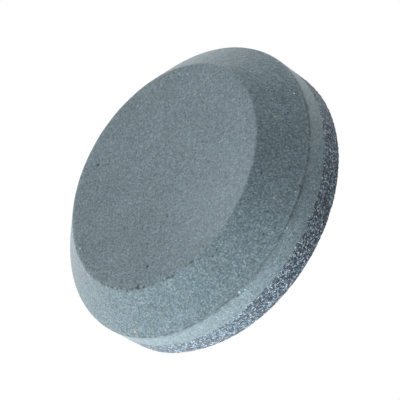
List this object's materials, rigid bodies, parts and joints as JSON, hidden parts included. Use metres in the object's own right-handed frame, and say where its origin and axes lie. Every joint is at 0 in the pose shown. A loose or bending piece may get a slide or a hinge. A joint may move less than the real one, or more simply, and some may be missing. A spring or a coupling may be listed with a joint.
{
  "type": "hand sharpening stone",
  "caption": "Round two-grit sharpening stone with bevelled faces and a straight rim: medium grit on top, coarse grit underneath, held in the hand to sharpen axes and garden tools.",
  "frame": {"origin": "centre of the coarse working face, which the stone stands on", "axes": "+Z along the stone's axis, from the coarse face to the medium face; X and Y are any two directions across it, since it is round"},
  "size_m": [0.0762, 0.0762, 0.0275],
  "materials": {
    "medium_grit": "vitrified medium-grit abrasive, grey-green, matt and finely pitted",
    "seam_mix": "vitrified mix of both grits, matt",
    "coarse_grit": "vitrified coarse-grit abrasive, dark slate with pale grains, rough"
  },
  "bodies": {
    "root": {"medium_grit_disc": "medium_grit", "fused_seam": "seam_mix", "coarse_grit_disc": "coarse_grit"}
  },
  "joints": []
}
